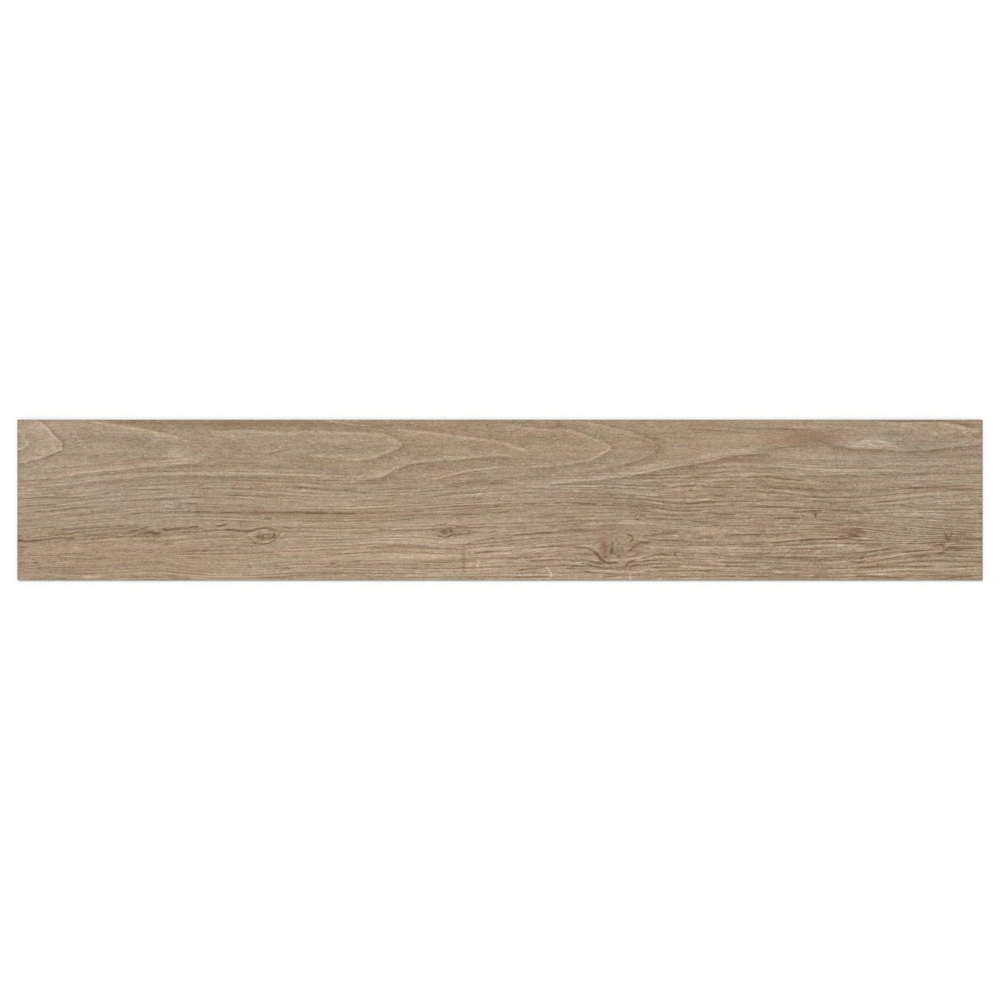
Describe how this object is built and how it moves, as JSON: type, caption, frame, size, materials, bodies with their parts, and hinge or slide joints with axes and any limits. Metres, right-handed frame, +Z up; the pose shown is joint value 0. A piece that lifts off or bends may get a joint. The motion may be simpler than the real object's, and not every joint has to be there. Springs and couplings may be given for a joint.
{
  "type": "wood look porcelain plank tile",
  "caption": "Long flat glazed porcelain floor tile with an oak board figure on its face, ground square sides, a fine face bevel and a shallow honeycomb keying relief on its back.",
  "frame": {"origin": "middle of the back, on the plane of the rib crests that the tile lies on", "axes": "+X along the plank, +Y across it, +Z up out of the glazed face"},
  "size_m": [1.2, 0.2, 0.009],
  "materials": {
    "glazed_porcelain": "matte"
  },
  "bodies": {
    "root": {"plank_tile": "glazed_porcelain"}
  },
  "joints": []
}
